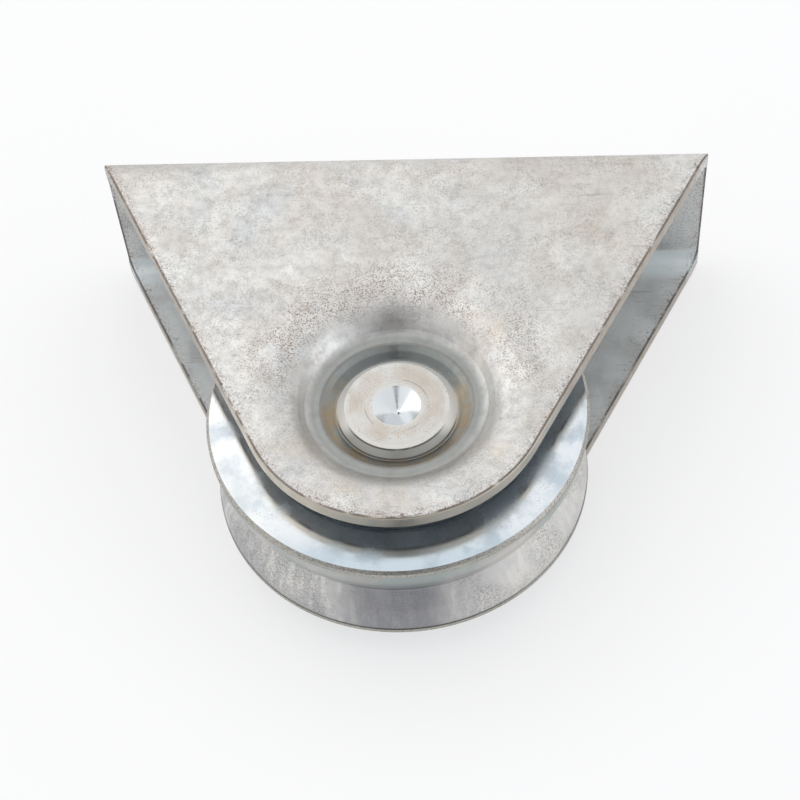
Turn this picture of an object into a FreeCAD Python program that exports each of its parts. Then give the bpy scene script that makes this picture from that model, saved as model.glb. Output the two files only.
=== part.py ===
import FreeCAD, Part
import math
import os
import Sketcher
from FreeCAD import Placement, Rotation, Vector

# Gate wheel: a grooved steel wheel on a ball bearing, riveted between the cheeks
# of a bracket folded from one sheet. Millimetres. Z is up, towards the gate.
# X runs along the rail and Y along the axle. The origin is the middle of the
# web's top face, where the gate's frame is welded on. The near cheek is at -Y.

driving_sizes = {
    # Bracket, folded from one sheet
    "sheetThickness": 3.0,
    "bracketLength": 136.0,
    "bracketWidth": 39.0,
    "foldRadius": 3.5,
    "endDrop": 3.5,
    "axleDrop": 67.0,
    "footRadius": 32.0,
    "edgeRounding": 0.4,
    "cutMargin": 20.0,
    # Pressed dish round the axle, sizes on the sheet's outer face
    "dishShare": 0.67416,
    "dishFloorRadius": 18.4,
    "dishWallRun": 5.4,
    "dishMargin": 6.8,
    "dishRimBend": 11.0,
    "dishFloorBend": 2.5,
    "dishBackBend": 0.8,
    # Coined recess in the dish, where the pin's head sits
    "recessRadius": 15.8,
    "recessDepth": 2.1,
    "recessTaper": 2.8,
    "recessLip": 0.8,
    "recessBackOffset": 0.1,
    "recessBackTaper": 2.1,
    # Wheel
    "wheelDiameter": 80.0,
    "wheelWidth": 24.0,
    "rimChamfer": 0.6,
    "landWidth": 1.0,
    "landStep": 0.15,
    "crestFlat": 0.15,
    "grooveAngle": 24.0,
    "shoulderRadius": 13.0,
    "rootRadius": 0.8,
    "hubWidth": 18.4,
    "hubRadius": 22.0,
    "webWidth": 16.0,
    "webInnerRadius": 24.0,
    "webOuterRadius": 27.0,
    "webFillet": 2.0,
    "sideFaceRadius": 30.5,
    # Ball bearing
    "bearingBore": 15.0,
    "bearingDiameter": 35.0,
    "bearingWidth": 11.0,
    "ballCount": 8,
    "ballShare": 0.29765,
    "landShare": 0.3612,
    "cageShare": 0.2184,
    "ballClearance": 0.06,
    "ringChamfer": 0.6,
    "pocketClearance": 0.1,
    "cageThickness": 0.6,
    "cageRivetDiameter": 1.0,
    "cageRivetHead": 1.6,
    "cageRivetTip": 1.0,
    "cageRivetHeadHeight": 0.3,
    "shieldThickness": 0.35,
    "shieldSetback": 0.3,
    "shieldStep": 0.35,
    "shieldGap": 0.35,
    "shieldSeat": 0.5,
    # What holds the bearing in the wheel and on the pin
    "boreShoulder": 2.0,
    "ringGrooveDepth": 1.0,
    "ringGrooveWidth": 1.6,
    "ringThickness": 1.5,
    "ringHeight": 2.6,
    "ringOpening": 36.0,
    "ringEyeRadius": 2.2,
    "ringEyeHole": 1.0,
    "ringEyeGap": 0.1,
    "spacerStep": 0.35,
    "seatGap": 0.02,
    # Axle pin
    "pinGap": 0.03,
    "headRadius": 12.75,
    "headHeight": 1.65,
    "headBevel": 1.75,
    "centreRadius": 5.1,
    "centreAngle": 120.0,
}

# Sizes that follow from the driving ones. The dish and the spacer share the room
# beside the bearing, and the balls fill the room between the bearing's two rings.
following_sizes = {
    "drawRoom": "bracketWidth / 2 - bearingWidth / 2 - sheetThickness - recessDepth",
    "dishDepth": "drawRoom * dishShare",
    "ballCircle": "(bearingBore + bearingDiameter) / 2",
    "ballDiameter": "(bearingDiameter - bearingBore) * ballShare",
    "innerLandRadius": "ballCircle / 2 - ballDiameter * landShare",
    "outerLandRadius": "ballCircle / 2 + ballDiameter * landShare",
    "cageInnerRadius": "ballCircle / 2 - ballDiameter * cageShare",
    "cageOuterRadius": "ballCircle / 2 + ballDiameter * cageShare",
    "spacerRadius": "innerLandRadius - spacerStep",
}

doc = FreeCAD.newDocument("gate_wheel")
sheet = doc.addObject("Spreadsheet::Sheet", "sizes")
cells = [(alias, str(number)) for alias, number in driving_sizes.items()]
cells += [(alias, "=" + formula) for alias, formula in following_sizes.items()]
for row, (alias, content) in enumerate(cells, start=1):
    sheet.set("A%d" % row, alias)
    sheet.set("B%d" % row, content)
    sheet.setAlias("B%d" % row, alias)
doc.recompute()


def size(alias):
    return float(getattr(sheet, alias))


def origin_plane(body, role):
    for feature in body.Origin.OriginFeatures:
        if feature.Role == role:
            return feature
    raise ValueError(role)


def new_body(node):
    body = doc.addObject("PartDesign::Body", node)
    body.Label = node
    return body


def new_sketch(body, name, role):
    sketch = body.newObject("Sketcher::SketchObject", name)
    sketch.AttachmentSupport = (origin_plane(body, role), [""])
    sketch.MapMode = "FlatFace"
    return sketch


def value_of(expression):
    # The number that an expression gives, as a first place for the solver
    sheet.set("D1", "=" + expression.replace("sizes.", ""))
    sheet.recompute()
    number = sheet.get("D1")
    return float(getattr(number, "Value", number))


def bind(sketch, constraint, name, expression):
    number = sketch.addConstraint(constraint)
    sketch.renameConstraint(number, name)
    sketch.setExpression("Constraints." + name, expression)


def fix_points(sketch, points):
    # Ties points of a sketch to the origin, each by two distances bound to the sheet.
    # An expression of "0" puts the point on the axis itself.
    constraints = []
    names = []
    for geometry, position, name, across, up in points:
        for kind, expression, axis in (("DistanceX", across, -2), ("DistanceY", up, -1)):
            if expression == "0":
                constraints.append(Sketcher.Constraint("PointOnObject", geometry, position, axis))
                names.append(None)
            else:
                constraints.append(Sketcher.Constraint(
                    kind, -1, 1, geometry, position, value_of(expression)))
                names.append((name + kind, expression))
    first = sketch.ConstraintCount
    sketch.addConstraint(constraints)
    for i, named in enumerate(names):
        if named:
            sketch.renameConstraint(first + i, named[0])
            sketch.setExpression("Constraints." + named[0], named[1])


def add_polygon(sketch, corners):
    # A closed outline whose every corner is bound to the sheet
    places = [Vector(0 if across == "0" else value_of(across), 0 if up == "0" else value_of(up), 0)
              for across, up in corners]
    first = sketch.GeometryCount
    count = len(corners)
    sketch.addGeometry([Part.LineSegment(places[i], places[(i + 1) % count])
                        for i in range(count)], False)
    sketch.addConstraint([Sketcher.Constraint("Coincident", first + i, 2, first + (i + 1) % count, 1)
                          for i in range(count)])
    fix_points(sketch, [(first + i, 1, "corner%d" % (first + i), across, up)
                        for i, (across, up) in enumerate(corners)])


def axle_sketch(body, name, corners):
    # A section through the axle's axis: across is Y, up is the radius
    sketch = new_sketch(body, name, "YZ_Plane")
    sketch.setExpression("AttachmentOffset.Base.y", "-sizes.axleDrop")
    add_polygon(sketch, corners)
    doc.recompute()
    return sketch


def turned(body, name, corners, kind="PartDesign::Revolution"):
    sketch = axle_sketch(body, name + "_section", corners)
    feature = body.newObject(kind, name)
    feature.Profile = sketch
    feature.ReferenceAxis = (sketch, ["H_Axis"])
    feature.Angle = 360.0
    doc.recompute()
    return feature


def ring_edges(shape, radius, y):
    # The circular edges of one radius about the axle, at one place along it
    names = []
    for i, edge in enumerate(shape.Edges, start=1):
        curve = edge.Curve
        if not isinstance(curve, Part.Circle):
            continue
        if abs(curve.Radius - radius) < 1e-4 and abs(curve.Center.y - y) < 1e-4 \
                and abs(curve.Center.z + size("axleDrop")) < 1e-4 and abs(curve.Axis.y) > 0.999:
            names.append("Edge%d" % i)
    if not names:
        raise ValueError("no ring edge at radius %.3f, y %.3f" % (radius, y))
    return names


def round_edges(body, name, base, names, expression):
    fillet = body.newObject("PartDesign::Fillet", name)
    fillet.Base = (base, names)
    fillet.setExpression("Radius", expression)
    doc.recompute()
    return fillet


# Values that several pieces share, written once as expressions on the sheet
outer_face = "(-sizes.bracketWidth / 2)"
inner_face = "(-sizes.bracketWidth / 2 + sizes.sheetThickness)"
dish_floor = "(-sizes.bracketWidth / 2 + sizes.dishDepth)"
recess_floor = "(-sizes.bracketWidth / 2 + sizes.dishDepth + sizes.recessDepth)"
recess_back = "(-sizes.bracketWidth / 2 + sizes.dishDepth + sizes.recessDepth + sizes.sheetThickness)"
back_shift = "(sizes.sheetThickness * tan(atan(sizes.dishDepth / sizes.dishWallRun) / 2))"
dish_top = "(sizes.dishFloorRadius + sizes.dishWallRun)"
dish_rim = "(sizes.dishFloorRadius + sizes.dishWallRun + sizes.dishMargin)"
pin_hole = "(sizes.bearingBore / 2 + sizes.pinGap)"
bearing_face = "(sizes.bearingWidth / 2)"


def make_half_bracket():
    # One cheek and half of the web, up to the middle plane
    body = new_body("half_bracket")
    section = new_sketch(body, "fold_section", "YZ_Plane")
    below = "(-sizes.axleDrop - sizes.footRadius - sizes.sheetThickness)"
    add_polygon(section, [
        ("0", "0"),
        (outer_face, "0"),
        (outer_face, below),
        (inner_face, below),
        (inner_face, "-sizes.sheetThickness"),
        ("0", "-sizes.sheetThickness"),
    ])
    doc.recompute()
    channel = body.newObject("PartDesign::Pad", "channel")
    channel.Profile = section
    channel.SideType = "Symmetric"
    channel.setExpression("Length", "sizes.bracketLength")
    doc.recompute()

    def fold_edge(shape, y, z):
        for i, edge in enumerate(shape.Edges, start=1):
            ends = [vertex.Point for vertex in edge.Vertexes]
            if all(abs(p.y - y) < 1e-4 and abs(p.z - z) < 1e-4 for p in ends):
                return ["Edge%d" % i]
        raise ValueError("no fold edge")

    half_width = size("bracketWidth") / 2
    outside = round_edges(body, "fold_outside", channel,
                          fold_edge(channel.Shape, -half_width, 0.0),
                          "sizes.foldRadius + sizes.sheetThickness")
    inside = round_edges(body, "fold_inside", outside,
                         fold_edge(outside.Shape, size("sheetThickness") - half_width,
                                   -size("sheetThickness")),
                         "sizes.foldRadius")

    trimmed = trim_outline(body, inside)
    opened = turned(body, "dish_opening", [
        ("(-sizes.bracketWidth / 2 - sizes.sheetThickness)", "0"),
        ("(-sizes.bracketWidth / 2 + sizes.sheetThickness * 2)", "0"),
        ("(-sizes.bracketWidth / 2 + sizes.sheetThickness * 2)", dish_rim),
        ("(-sizes.bracketWidth / 2 - sizes.sheetThickness)", dish_rim),
    ], "PartDesign::Groove")
    if opened.Shape.Volume >= trimmed.Shape.Volume:
        raise ValueError("the dish opening cut nothing")
    return body, press_dish(body)


def trim_outline(body, base):
    # Blanking: everything outside the cheek's outline is cut away
    outline = new_sketch(body, "outline", "XZ_Plane")
    half_length = size("bracketLength") / 2
    foot = size("footRadius")
    drop = size("axleDrop")
    top = size("sheetThickness")
    end = size("endDrop")
    # The tangent from the web's corner to the foot's circle
    run = math.hypot(half_length, drop - end)
    angle = math.atan2(drop - end, half_length) - math.acos(foot / run)
    touch = Vector(foot * math.cos(angle), foot * math.sin(angle) - drop, 0)
    corners = [
        Vector(-half_length, -end, 0), Vector(-half_length, top, 0),
        Vector(half_length, top, 0), Vector(half_length, -end, 0),
    ]
    left = outline.addGeometry(Part.LineSegment(corners[0], corners[1]), False)
    over = outline.addGeometry(Part.LineSegment(corners[1], corners[2]), False)
    right = outline.addGeometry(Part.LineSegment(corners[2], corners[3]), False)
    down = outline.addGeometry(Part.LineSegment(corners[3], touch), False)
    circle = Part.Circle(Vector(0, -drop, 0), Vector(0, 0, 1), foot)
    arc = outline.addGeometry(
        Part.ArcOfCircle(circle, math.pi - angle, 2 * math.pi + angle), False)
    up = outline.addGeometry(
        Part.LineSegment(Vector(-touch.x, touch.y, 0), corners[0]), False)
    for one, other in ((left, over), (over, right), (right, down), (up, left)):
        outline.addConstraint(Sketcher.Constraint("Coincident", one, 2, other, 1))
    outline.addConstraint(Sketcher.Constraint("Tangent", down, 2, arc, 2))
    outline.addConstraint(Sketcher.Constraint("Tangent", arc, 1, up, 1))
    outline.addConstraint(Sketcher.Constraint("PointOnObject", arc, 3, -2))
    bind(outline, Sketcher.Constraint("DistanceY", -1, 1, arc, 3, -drop), "axle", "-sizes.axleDrop")
    bind(outline, Sketcher.Constraint("Radius", arc, foot), "foot", "sizes.footRadius")
    fix_points(outline, [
        (left, 1, "leftEnd", "-sizes.bracketLength / 2", "-sizes.endDrop"),
        (left, 2, "leftTop", "-sizes.bracketLength / 2", "sizes.sheetThickness"),
        (right, 1, "rightTop", "sizes.bracketLength / 2", "sizes.sheetThickness"),
        (right, 2, "rightEnd", "sizes.bracketLength / 2", "-sizes.endDrop"),
    ])
    far_side = "(sizes.bracketLength / 2 + sizes.cutMargin)"
    far_down = "(-sizes.axleDrop - sizes.footRadius - sizes.cutMargin)"
    add_polygon(outline, [
        ("-" + far_side, far_down),
        (far_side, far_down),
        (far_side, "sizes.cutMargin"),
        ("-" + far_side, "sizes.cutMargin"),
    ])
    doc.recompute()
    blank = body.newObject("PartDesign::Pocket", "blank_outline")
    blank.Profile = outline
    blank.Type = "ThroughAll"
    blank.SideType = "Symmetric"
    doc.recompute()
    if blank.Shape.Volume >= base.Shape.Volume:
        raise ValueError("the outline cut nothing")
    return blank


def press_dish(body):
    # The sheet drawn in to the bearing: a broad dish, then the coined recess
    back_lip = "(sizes.recessRadius - sizes.recessBackOffset)"
    back_edge = "(sizes.recessRadius - sizes.recessBackOffset - sizes.recessBackTaper)"
    dish = turned(body, "dish", [
        (outer_face, dish_rim),
        (outer_face, dish_top),
        (dish_floor, "sizes.dishFloorRadius"),
        (dish_floor, "sizes.recessRadius"),
        (recess_floor, "(sizes.recessRadius - sizes.recessTaper)"),
        (recess_floor, pin_hole),
        (recess_back, pin_hole),
        (recess_back, back_edge),
        (dish_floor + " + sizes.sheetThickness", back_lip),
        (dish_floor + " + sizes.sheetThickness", "(sizes.dishFloorRadius - %s)" % back_shift),
        (inner_face, "(%s - %s)" % (dish_top, back_shift)),
        (inner_face, dish_rim),
    ])
    half_width = size("bracketWidth") / 2
    slope = math.atan2(size("dishDepth"), size("dishWallRun"))
    shift = size("sheetThickness") * math.tan(slope / 2)
    floor = size("dishDepth") - half_width
    bottom = floor + size("recessDepth")
    thick = size("sheetThickness")
    top_radius = size("dishFloorRadius") + size("dishWallRun")
    last = dish
    for name, radius, y, expression in (
            ("dish_rim_bend", top_radius, -half_width, "sizes.dishRimBend"),
            ("dish_floor_bend", size("dishFloorRadius"), floor, "sizes.dishFloorBend"),
            ("dish_rim_back", top_radius - shift, thick - half_width,
             "sizes.dishRimBend - sizes.sheetThickness"),
            ("dish_floor_back", size("dishFloorRadius") - shift, floor + thick, "sizes.dishBackBend"),
            ("recess_lip", size("recessRadius"), floor, "sizes.recessLip"),
            ("recess_floor_bend", size("recessRadius") - size("recessTaper"), bottom, "sizes.recessLip"),
            ("recess_back_lip", size("recessRadius") - size("recessBackOffset"), floor + thick,
             "sizes.recessLip")):
        last = round_edges(body, name, last, ring_edges(last.Shape, radius, y), expression)
    return last


def sheared_edges(shape):
    # The long edges of the cheek's outer face, which the press rolls over a little
    names = []
    half_width = size("bracketWidth") / 2
    reach = size("dishFloorRadius")
    for i, edge in enumerate(shape.Edges, start=1):
        box = edge.BoundBox
        flat = abs(box.YMin + half_width) < 1e-4 and abs(box.YMax + half_width) < 1e-4
        low = box.ZMin < -size("axleDrop") / 2
        round_foot = isinstance(edge.Curve, Part.Circle) and \
            abs(edge.Curve.Radius - size("footRadius")) < 1e-4
        sloping = isinstance(edge.Curve, Part.Line) and box.ZLength > reach
        if flat and low and (round_foot or sloping):
            names.append("Edge%d" % i)
    return names


def make_bracket():
    body, last = make_half_bracket()
    names = sheared_edges(last.Shape)
    if len(names) < 3:
        raise ValueError("the cheek's sheared edges were not found")
    round_edges(body, "sheared_edge", last, names, "sizes.edgeRounding")
    mirrored = doc.addObject("Part::Mirroring", "other_half")
    mirrored.Source = body
    mirrored.Normal = Vector(0, 1, 0)
    bracket = doc.addObject("Part::Fuse", "bracket")
    bracket.Base = body
    bracket.Tool = mirrored
    bracket.Refine = True
    bracket.Label = "bracket"
    doc.recompute()
    return bracket


def make_wheel():
    body = new_body("wheel")
    rim = "(sizes.wheelDiameter / 2)"
    side = "(sizes.wheelWidth / 2)"
    land = "(sizes.wheelWidth / 2 - sizes.rimChamfer)"
    land_end = "(sizes.wheelWidth / 2 - sizes.rimChamfer - sizes.landWidth)"
    crest = "(sizes.wheelDiameter / 2 - sizes.landStep)"
    crest_end = "(%s - sizes.landStep - sizes.crestFlat - sizes.shoulderRadius * %s)" % (
        land_end, "tan(sizes.grooveAngle * 1deg / 2)")
    root = "(%s - %s * tan(sizes.grooveAngle * 1deg))" % (crest, crest_end)
    hub = "(sizes.hubWidth / 2)"
    web = "(sizes.webWidth / 2)"
    seat = "(sizes.bearingDiameter / 2)"
    groove_end = "(sizes.bearingWidth / 2 + sizes.ringGrooveWidth)"
    groove_floor = "(sizes.bearingDiameter / 2 + sizes.ringGrooveDepth)"
    half = [
        (hub, "sizes.hubRadius"),
        (web, "sizes.webInnerRadius"),
        (web, "sizes.webOuterRadius"),
        (side, "sizes.sideFaceRadius"),
        (side, "(%s - sizes.rimChamfer)" % rim),
        (land, rim),
        (land_end, rim),
        (land_end + " - sizes.landStep", crest),
        (crest_end, crest),
    ]
    near = [("-(%s)" % across, up) for across, up in half]
    far = list(reversed(half))
    corners = near + [("0", root)] + far + [
        (hub, "(%s - sizes.boreShoulder)" % seat),
        (bearing_face, "(%s - sizes.boreShoulder)" % seat),
        (bearing_face, seat),
        ("-" + bearing_face, seat),
        ("-" + bearing_face, groove_floor),
        ("-" + groove_end, groove_floor),
        ("-" + groove_end, seat),
        ("-" + hub, seat),
    ]
    last = turned(body, "turned_wheel", corners)
    half_land = size("wheelWidth") / 2 - size("rimChamfer") - size("landWidth")
    shoulder = half_land - size("landStep") - size("crestFlat") \
        - size("shoulderRadius") * math.tan(math.radians(size("grooveAngle")) / 2)
    crest_radius = size("wheelDiameter") / 2 - size("landStep")
    root_radius = crest_radius - shoulder * math.tan(math.radians(size("grooveAngle")))
    for name, radius, y, expression in (
            ("near_shoulder", crest_radius, -shoulder, "sizes.shoulderRadius"),
            ("far_shoulder", crest_radius, shoulder, "sizes.shoulderRadius"),
            ("groove_root", root_radius, 0.0, "sizes.rootRadius"),
            ("near_web_fillet", size("webOuterRadius"), -size("webWidth") / 2, "sizes.webFillet"),
            ("far_web_fillet", size("webOuterRadius"), size("webWidth") / 2, "sizes.webFillet")):
        last = round_edges(body, name, last, ring_edges(last.Shape, radius, y), expression)
    return body


def make_pin():
    body = new_body("axle_pin")
    seat = recess_floor
    top = "(%s - sizes.headHeight)" % recess_floor
    shank = "(sizes.bearingBore / 2)"
    depth = "(sizes.centreRadius / tan(sizes.centreAngle * 1deg / 2))"
    turned(body, "turned_pin", [
        ("(%s + %s)" % (top, depth), "0"),
        (top, "sizes.centreRadius"),
        (top, "(sizes.headRadius - sizes.headBevel)"),
        (seat, "sizes.headRadius"),
        (seat, shank),
        ("-" + seat, shank),
        ("-" + seat, "sizes.headRadius"),
        ("-" + top, "(sizes.headRadius - sizes.headBevel)"),
        ("-" + top, "0"),
    ])
    return body


def make_spacer(node, side):
    body = new_body(node)
    outer = "%s(-%s)" % (side, recess_back)
    inner = "%s%s" % (side, bearing_face)
    turned(body, node + "_ring", [
        (inner, pin_hole),
        (inner, "sizes.spacerRadius"),
        (outer, "sizes.spacerRadius"),
        (outer, pin_hole),
    ])
    return body


def place_on_axle(feature):
    # A round primitive's own axis is Z: this lays it along the axle
    feature.Placement = Placement(Vector(0, 0, 0), Rotation(Vector(1, 0, 0), -90))
    feature.setExpression("Placement.Base.z", "-sizes.axleDrop")


def torus_race(name, clearance):
    race = doc.addObject("Part::Torus", name)
    race.setExpression("Radius1", "sizes.ballCircle / 2")
    race.setExpression("Radius2", "sizes.ballDiameter / 2 + " + clearance)
    place_on_axle(race)
    return race


def cut(node, base, tool):
    piece = doc.addObject("Part::Cut", node)
    piece.Base = base
    piece.Tool = tool
    piece.Label = node
    doc.recompute()
    return piece


def make_outer_ring():
    body = new_body("outer_ring_blank")
    outside = "(sizes.bearingDiameter / 2 - sizes.seatGap)"
    ledge = "(sizes.bearingWidth / 2 - sizes.shieldSetback)"
    shelf = "(%s - sizes.shieldStep - sizes.shieldThickness)" % ledge
    slot = "(sizes.outerLandRadius + sizes.shieldSeat)"
    turned(body, "outer_ring_blank_turned", [
        ("(sizes.ringChamfer - %s)" % bearing_face, outside),
        ("-" + bearing_face, "(%s - sizes.ringChamfer)" % outside),
        ("-" + bearing_face, "(%s + sizes.ringChamfer / 2)" % slot),
        ("-" + shelf, slot),
        ("-" + shelf, "sizes.outerLandRadius"),
        (shelf, "sizes.outerLandRadius"),
        (shelf, slot),
        (bearing_face, "(%s + sizes.ringChamfer / 2)" % slot),
        (bearing_face, "(%s - sizes.ringChamfer)" % outside),
        ("(%s - sizes.ringChamfer)" % bearing_face, outside),
    ])
    return cut("bearing_outer_ring", body, torus_race("outer_race", "sizes.ballClearance"))


def make_inner_ring():
    body = new_body("inner_ring_blank")
    bore = pin_hole
    turned(body, "inner_ring_blank_turned", [
        ("-" + bearing_face, "(%s + sizes.ringChamfer)" % bore),
        ("-" + bearing_face, "sizes.innerLandRadius"),
        (bearing_face, "sizes.innerLandRadius"),
        (bearing_face, "(%s + sizes.ringChamfer)" % bore),
        ("(%s - sizes.ringChamfer)" % bearing_face, bore),
        ("(sizes.ringChamfer - %s)" % bearing_face, bore),
    ])
    return cut("bearing_inner_ring", body, torus_race("inner_race", "sizes.ballClearance"))


def ball_angle(i):
    return "%d * 360deg / sizes.ballCount" % i


def make_balls():
    balls = []
    for i in range(int(size("ballCount"))):
        node = "ball_%d" % (i + 1)
        ball = doc.addObject("Part::Sphere", node)
        ball.Label = node
        ball.setExpression("Radius", "sizes.ballDiameter / 2")
        ball.setExpression("Placement.Base.x", "sizes.ballCircle / 2 * cos(%s)" % ball_angle(i))
        ball.setExpression("Placement.Base.z",
                           "-sizes.axleDrop + sizes.ballCircle / 2 * sin(%s)" % ball_angle(i))
        balls.append(ball)
    doc.recompute()
    return balls


def make_cage_half(node, side):
    # A ribbon pressed from sheet: flat tabs between the balls, a pocket over each
    wall = size("cageThickness")
    middle = size("ballDiameter") / 2 + size("pocketClearance")
    circle = size("ballCircle") / 2
    centre = Vector(0, 0, -size("axleDrop"))
    axis = Vector(0, side, 0)
    reach = middle + wall * 2

    def band(start, height):
        base = centre + axis * start
        outer = Part.makeCylinder(size("cageOuterRadius"), height, base, axis)
        return outer.cut(Part.makeCylinder(size("cageInnerRadius"), height, base, axis))

    count = int(size("ballCount"))
    places = [centre + Vector(circle * math.cos(2 * math.pi * i / count), 0,
                              circle * math.sin(2 * math.pi * i / count)) for i in range(count)]
    shells = [Part.makeSphere(middle + wall, place) for place in places]
    pockets = [Part.makeSphere(middle, place) for place in places]
    humps = shells[0].multiFuse(shells[1:]).common(band(0, reach))
    ribbon = band(0, wall).fuse(humps).cut(pockets[0].multiFuse(pockets[1:]))
    holes = []
    for i in range(count):
        turn = 2 * math.pi * (i + 0.5) / count
        foot = centre + Vector(circle * math.cos(turn), 0, circle * math.sin(turn)) - axis * wall
        holes.append(Part.makeCylinder(size("cageRivetDiameter") / 2, wall * 3, foot, axis))
    ribbon = ribbon.cut(holes[0].multiFuse(holes[1:]))
    half = doc.addObject("Part::Feature", node)
    half.Label = node
    half.Shape = ribbon.removeSplitter()
    return half


def make_cage_rivets():
    count = int(size("ballCount"))
    wall = size("cageThickness")
    circle = size("ballCircle") / 2
    rivets = []
    for i in range(count):
        turn = 2 * math.pi * (i + 0.5) / count
        middle = Vector(circle * math.cos(turn), 0, circle * math.sin(turn) - size("axleDrop"))
        along = Vector(0, 1, 0)
        shank = Part.makeCylinder(size("cageRivetDiameter") / 2, wall * 2, middle - along * wall, along)
        rise = size("cageRivetHeadHeight")
        wide = size("cageRivetHead") / 2
        tip = size("cageRivetTip") / 2
        heads = [Part.makeCone(wide, tip, rise, middle + along * side * wall, along * side)
                 for side in (-1, 1)]
        rivets.append(shank.multiFuse(heads).removeSplitter())
    group = doc.addObject("Part::Feature", "cage_rivets")
    group.Label = "cage_rivets"
    group.Shape = Part.makeCompound(rivets)
    return group


def make_shield(node, side):
    body = new_body(node)
    face = "(sizes.bearingWidth / 2 - sizes.shieldSetback)"
    back = "(%s - sizes.shieldThickness)" % face
    low_face = "(%s - sizes.shieldStep)" % face
    low_back = "(%s - sizes.shieldStep)" % back
    inner = "(sizes.innerLandRadius + sizes.shieldGap)"
    rim = "(sizes.outerLandRadius + sizes.shieldSeat - sizes.seatGap)"
    step = "(sizes.outerLandRadius - sizes.shieldSeat)"
    slope = "(%s + sizes.shieldStep)" % step
    turned(body, node + "_disc", [
        (side + back, inner),
        (side + face, inner),
        (side + face, step),
        (side + low_face, slope),
        (side + low_face, rim),
        (side + low_back, rim),
        (side + low_back, slope),
        (side + back, step),
    ])
    return body


def make_retaining_ring():
    # An open spring ring in the wheel's bore, with an eye at each end for the pliers
    thick = size("ringThickness")
    outer = size("bearingDiameter") / 2 + size("ringGrooveDepth") - size("seatGap")
    height = size("ringHeight")
    start = Vector(0, -size("bearingWidth") / 2 - size("seatGap"), -size("axleDrop"))
    axis = Vector(0, -1, 0)
    blank = Part.makeCylinder(outer, thick, start, axis)
    blank = blank.cut(Part.makeCylinder(outer - height, thick, start, axis))
    half_turn = math.radians(size("ringOpening")) / 2
    far = outer * 2
    wedge = Part.makePolygon([
        start,
        start + Vector(far * math.sin(-half_turn), 0, far * math.cos(half_turn)),
        start + Vector(far * math.sin(half_turn), 0, far * math.cos(half_turn)),
        start])
    blank = blank.cut(Part.Face(wedge).extrude(axis * thick))
    eye = size("ringEyeRadius")
    reach = size("bearingDiameter") / 2 - size("ringEyeGap") - eye
    turn = half_turn + math.asin(eye / reach)
    for way in (-1, 1):
        middle = start + Vector(way * reach * math.sin(turn), 0, reach * math.cos(turn))
        blank = blank.fuse(Part.makeCylinder(eye, thick, middle, axis))
        blank = blank.cut(Part.makeCylinder(size("ringEyeHole"), thick, middle, axis))
    ring = doc.addObject("Part::Feature", "retaining_ring")
    ring.Label = "retaining_ring"
    ring.Shape = blank.removeSplitter()
    return ring


pieces = [make_bracket(), make_wheel(), make_pin()]
pieces += [make_spacer("spacer_near", "-"), make_spacer("spacer_far", "")]
pieces += [make_outer_ring(), make_inner_ring()]
pieces += make_balls()
pieces += [make_cage_half("cage_near", -1), make_cage_half("cage_far", 1), make_cage_rivets()]
pieces += [make_shield("shield_near", "-"), make_shield("shield_far", "")]
pieces.append(make_retaining_ring())

doc.recompute()
for item in doc.Objects:
    if "Invalid" in item.State or "Error" in item.State:
        raise ValueError("%s did not compute: %s" % (item.Name, item.State))
for piece in pieces:
    if piece.Shape.isNull() or not piece.Shape.isValid():
        raise ValueError("%s has no valid shape" % piece.Label)

os.makedirs("parts", exist_ok=True)
for piece in pieces:
    piece.Shape.exportStep("parts/%s.step" % piece.Label)
    print("%-20s %9.1f mm3, %d solid" % (piece.Label, piece.Shape.Volume, len(piece.Shape.Solids)))
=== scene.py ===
import math

import bmesh
import bpy
from mathutils import Matrix, Vector


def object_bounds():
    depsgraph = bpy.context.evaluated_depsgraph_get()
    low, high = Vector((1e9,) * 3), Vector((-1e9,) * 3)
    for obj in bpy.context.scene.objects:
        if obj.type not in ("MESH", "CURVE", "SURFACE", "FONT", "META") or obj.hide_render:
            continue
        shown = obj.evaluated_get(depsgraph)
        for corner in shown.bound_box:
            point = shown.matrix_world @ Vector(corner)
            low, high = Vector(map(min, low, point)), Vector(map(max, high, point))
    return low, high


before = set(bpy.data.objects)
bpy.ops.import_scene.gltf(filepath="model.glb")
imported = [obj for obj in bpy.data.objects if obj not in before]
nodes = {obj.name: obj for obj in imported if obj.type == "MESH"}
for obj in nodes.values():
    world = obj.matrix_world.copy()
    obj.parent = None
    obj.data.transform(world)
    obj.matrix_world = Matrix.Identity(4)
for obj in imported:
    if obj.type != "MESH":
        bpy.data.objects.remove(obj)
cadBox = [list(corner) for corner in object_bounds()]
print("frame loaded:", len(nodes), "nodes")

axleCentre = (0.0, 0.0, -0.067)  # the wheel's middle, under the bracket's web

# the small tools that everything below uses


def linearColour(hexText):
    channels = [int(hexText[i:i + 2], 16) / 255 for i in (1, 3, 5)]
    return [c / 12.92 if c <= 0.04045 else ((c + 0.055) / 1.055) ** 2.4 for c in channels] + [1.0]


def fillInputs(tree, node, inputs):
    # each socket gets a plain value or another node's output
    for name, value in inputs.items():
        if isinstance(value, bpy.types.NodeSocket):
            tree.links.new(value, node.inputs[name])
        else:
            node.inputs[name].default_value = value


def addNode(tree, kind, settings=None, inputs=None):
    node = tree.nodes.new(kind)
    for name, value in (settings or {}).items():
        setattr(node, name, value)
    fillInputs(tree, node, inputs or {})
    return node


def newMaterial(name):
    material = bpy.data.materials.new(name)
    material.use_nodes = True
    tree = material.node_tree
    shader = next(n for n in tree.nodes if n.type == "BSDF_PRINCIPLED")
    return material, tree, shader


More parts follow.
